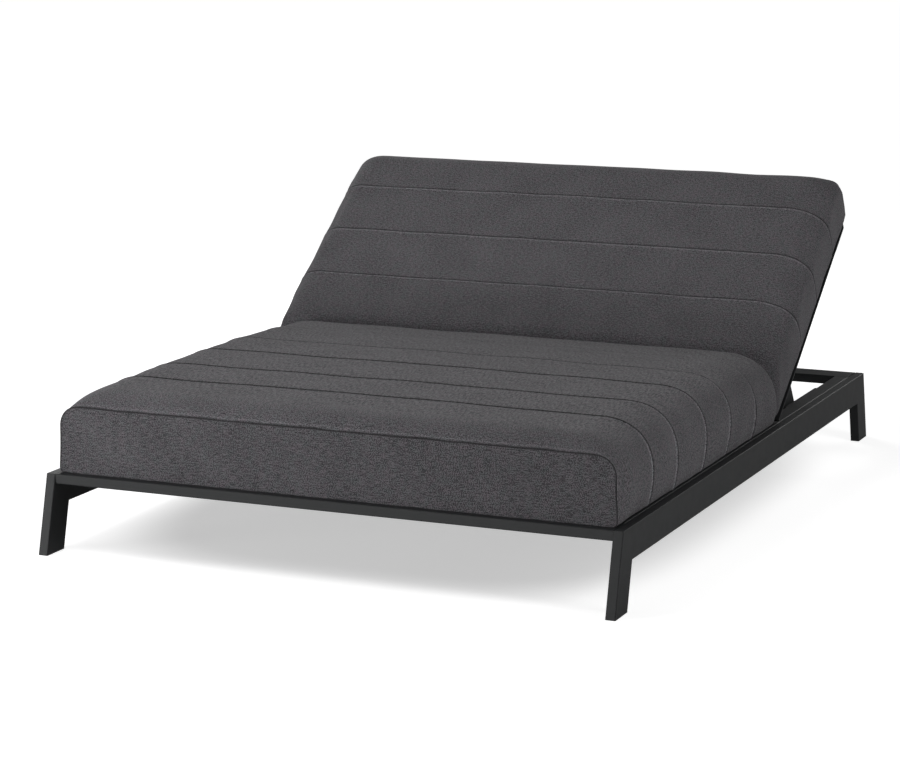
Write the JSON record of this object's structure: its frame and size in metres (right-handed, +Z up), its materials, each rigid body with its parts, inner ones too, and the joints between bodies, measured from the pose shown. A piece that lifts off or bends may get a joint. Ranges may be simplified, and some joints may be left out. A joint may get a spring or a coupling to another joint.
{
  "type": "double chaise lounger",
  "caption": "Low double chaise lounger: splayed tube frame, thick channelled seat cushion and a propped reclining back with cushion.",
  "frame": {"origin": "on the floor, under the middle of the base frame (bottom centre of the bounding box)", "axes": "+Y from the foot end towards the head end, +X to the right seen from the foot end, +Z up"},
  "size_m": [1.5, 2.1462, 0.7905],
  "materials": {
    "coated_aluminium": "matte",
    "coated_steel": "matte",
    "stainless": "satin",
    "black_plastic": "matte",
    "bumper_rubber": "matte",
    "cushion_fabric": "matte"
  },
  "bodies": {
    "base": {"deck_spine": "coated_aluminium", "foot_crossbar": "coated_aluminium", "foot_glide_front_left": "black_plastic", "foot_glide_front_right": "black_plastic", "foot_glide_rear_left": "black_plastic", "foot_glide_rear_right": "black_plastic", "frame_screws": "stainless", "head_crossbar": "coated_aluminium", "hinge_beam": "coated_aluminium", "hinge_bracket_left": "coated_steel", "hinge_bracket_right": "coated_steel", "hinge_pin_left": "stainless", "hinge_pin_right": "stainless", "hinge_pin_rings": "stainless", "ledge_left": "coated_aluminium", "ledge_right": "coated_aluminium", "leg_front_left": "coated_aluminium", "leg_front_right": "coated_aluminium", "leg_rear_left": "coated_aluminium", "leg_rear_right": "coated_aluminium", "notch_plate_left": "coated_steel", "notch_plate_right": "coated_steel", "seat_cushion": "cushion_fabric", "seat_slat_left_1": "coated_aluminium", "seat_slat_left_2": "coated_aluminium", "seat_slat_left_3": "coated_aluminium", "seat_slat_left_4": "coated_aluminium", "seat_slat_left_5": "coated_aluminium", "seat_slat_left_6": "coated_aluminium", "seat_slat_right_1": "coated_aluminium", "seat_slat_right_2": "coated_aluminium", "seat_slat_right_3": "coated_aluminium", "seat_slat_right_4": "coated_aluminium", "seat_slat_right_5": "coated_aluminium", "seat_slat_right_6": "coated_aluminium", "side_rail_left": "coated_aluminium", "side_rail_right": "coated_aluminium"},
    "backrest": {"back_bottom_rail": "coated_aluminium", "back_cushion": "cushion_fabric", "back_rim_left": "coated_aluminium", "back_rim_right": "coated_aluminium", "back_rim_top": "coated_aluminium", "back_slat_1": "coated_aluminium", "back_slat_2": "coated_aluminium", "back_slat_3": "coated_aluminium", "back_slat_4": "coated_aluminium", "back_stile_left": "coated_aluminium", "back_stile_right": "coated_aluminium", "back_top_rail": "coated_aluminium", "hinge_bush_left": "black_plastic", "hinge_bush_right": "black_plastic", "landing_bumpers": "bumper_rubber", "prop_bushes": "black_plastic", "prop_pivot_bolts": "stainless", "prop_washers": "black_plastic", "stile_end_plugs": "black_plastic"},
    "prop": {"foot_bar": "coated_aluminium", "foot_bar_collars": "black_plastic", "prop_arm_left": "coated_aluminium", "prop_arm_right": "coated_aluminium"}
  },
  "joints": [
    {"name": "backrest_recline", "type": "hinge", "parent": "base", "child": "backrest", "pos_m": [0, 0.26, 0.1855], "axis": [1, 0, 0], "range_deg": [-36.6, 13.4]},
    {"name": "prop_swing", "type": "hinge", "parent": "backrest", "child": "prop", "pos_m": [0, 0.45749, 0.33217], "axis": [1, 0, 0], "range_deg": [-31, 84.5]}
  ],
  "couplings": [
    {"joint": "prop_swing", "follows": "backrest_recline", "ratio": -2.3}
  ]
}
